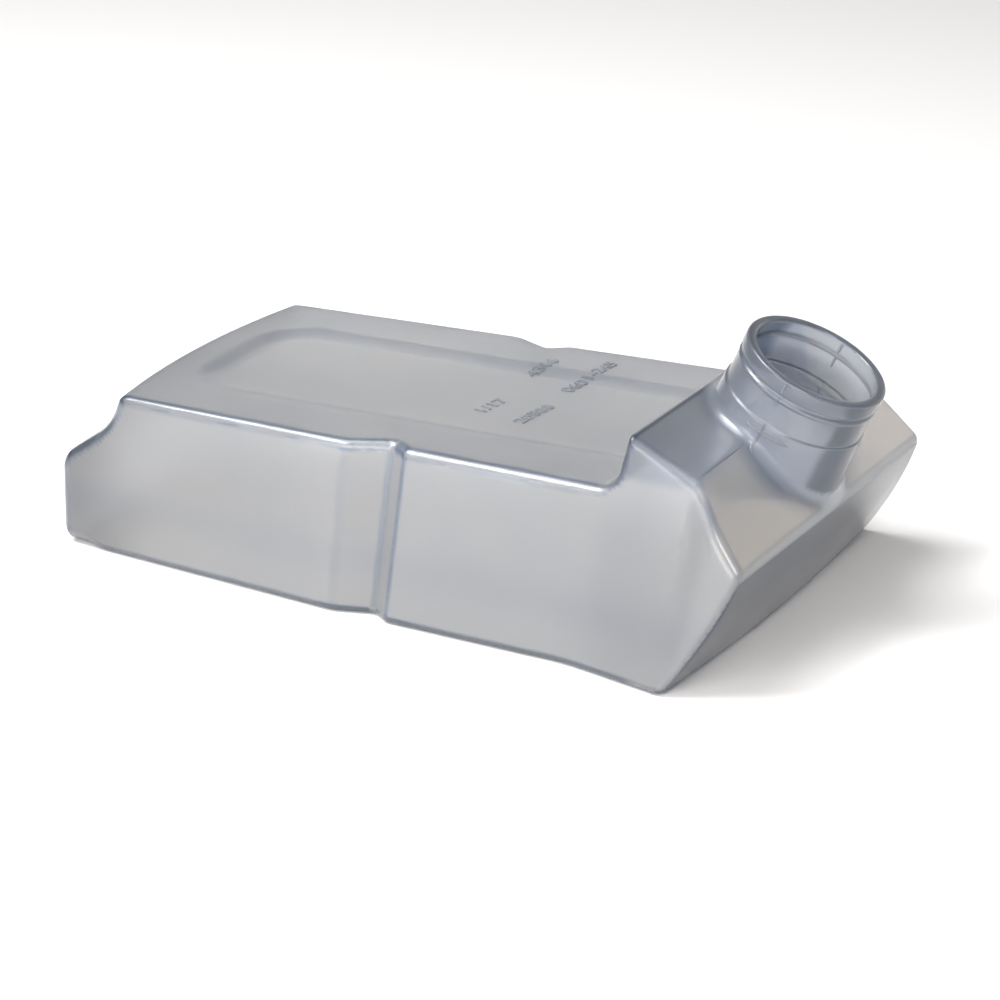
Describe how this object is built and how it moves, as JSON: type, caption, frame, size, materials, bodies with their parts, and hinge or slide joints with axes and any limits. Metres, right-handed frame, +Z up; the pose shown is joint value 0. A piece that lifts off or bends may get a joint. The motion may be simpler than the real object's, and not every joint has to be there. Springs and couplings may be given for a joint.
{
  "type": "urine bottle",
  "caption": "Flat translucent plastic urine bottle lying on its base, with finger notches in its sides and an open round neck tilted forward on a raised snout.",
  "frame": {"origin": "centre of the bounding box, on the plane of the base", "axes": "+X from the rear of the tank to the neck, +Z up from the base, +Y to the left of someone looking along +X"},
  "size_m": [0.2881, 0.173, 0.1012],
  "materials": {
    "clear_polyethylene": "translucent natural polyethylene, satin"
  },
  "bodies": {
    "root": {"base_wall": "clear_polyethylene", "front_wall": "clear_polyethylene", "snout_front_facet": "clear_polyethylene", "snout_rear_facet": "clear_polyethylene", "snout_step": "clear_polyethylene", "tank_deck": "clear_polyethylene", "rear_step": "clear_polyethylene", "rear_ledge": "clear_polyethylene", "rear_wall": "clear_polyethylene", "right_rear_side": "clear_polyethylene", "right_grip_notch": "clear_polyethylene", "right_front_side": "clear_polyethylene", "right_cheek": "clear_polyethylene", "left_rear_side": "clear_polyethylene", "left_grip_notch": "clear_polyethylene", "left_front_side": "clear_polyethylene", "left_cheek": "clear_polyethylene", "neck_tube": "clear_polyethylene", "neck_lip": "clear_polyethylene"}
  },
  "joints": []
}
